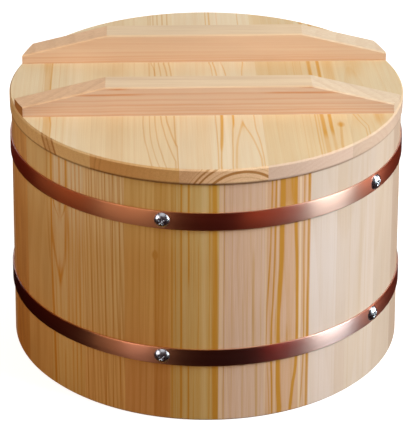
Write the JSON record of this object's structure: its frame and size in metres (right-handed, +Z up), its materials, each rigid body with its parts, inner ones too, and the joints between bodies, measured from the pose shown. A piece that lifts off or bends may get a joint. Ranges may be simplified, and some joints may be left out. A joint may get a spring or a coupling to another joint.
{
  "type": "lidded sushi rice tub",
  "caption": "Round wooden rice tub built of upright staves held by flat copper hoops, with a board lid that drops inside the rim and is lifted by its cross battens.",
  "frame": {"origin": "centre of the foot circle, on the surface that the tub stands on", "axes": "+Z up; the battens of the lid run along X and its boards along Y; the pictured front faces -Y"},
  "size_m": [0.2676, 0.2696, 0.2001],
  "materials": {
    "tub_wood": "planed softwood, unvarnished, fine upright grain",
    "lid_wood": "planed softwood, unvarnished, pale cream with grain front to back",
    "batten_wood": "planed softwood, unvarnished, reddish grain along its length",
    "bamboo": "split bamboo",
    "copper": "satin copper, brushed along the strip",
    "screw_steel": "bright polished steel"
  },
  "bodies": {
    "root": {"stave_01": "tub_wood", "stave_02": "tub_wood", "stave_03": "tub_wood", "stave_04": "tub_wood", "stave_05": "tub_wood", "stave_06": "tub_wood", "stave_07": "tub_wood", "stave_08": "tub_wood", "stave_09": "tub_wood", "stave_10": "tub_wood", "stave_11": "tub_wood", "stave_12": "tub_wood", "stave_13": "tub_wood", "stave_14": "tub_wood", "stave_15": "tub_wood", "stave_16": "tub_wood", "stave_17": "tub_wood", "stave_18": "tub_wood", "stave_19": "tub_wood", "stave_20": "tub_wood", "stave_21": "tub_wood", "stave_22": "tub_wood", "stave_23": "tub_wood", "stave_24": "tub_wood", "stave_25": "tub_wood", "stave_26": "tub_wood", "stave_27": "tub_wood", "floor_board_1": "tub_wood", "floor_board_2": "tub_wood", "floor_board_3": "tub_wood", "floor_board_4": "tub_wood", "lid_board_1": "lid_wood", "lid_board_2": "lid_wood", "lid_board_3": "lid_wood", "lid_board_4": "lid_wood", "lid_board_5": "lid_wood", "front_batten": "batten_wood", "back_batten": "batten_wood", "stave_pins": "bamboo", "floor_pins": "bamboo", "lid_pins": "bamboo", "batten_pins": "bamboo", "upper_hoop": "copper", "lower_hoop": "copper", "upper_hoop_screws": "screw_steel", "lower_hoop_screws": "screw_steel"}
  },
  "joints": []
}
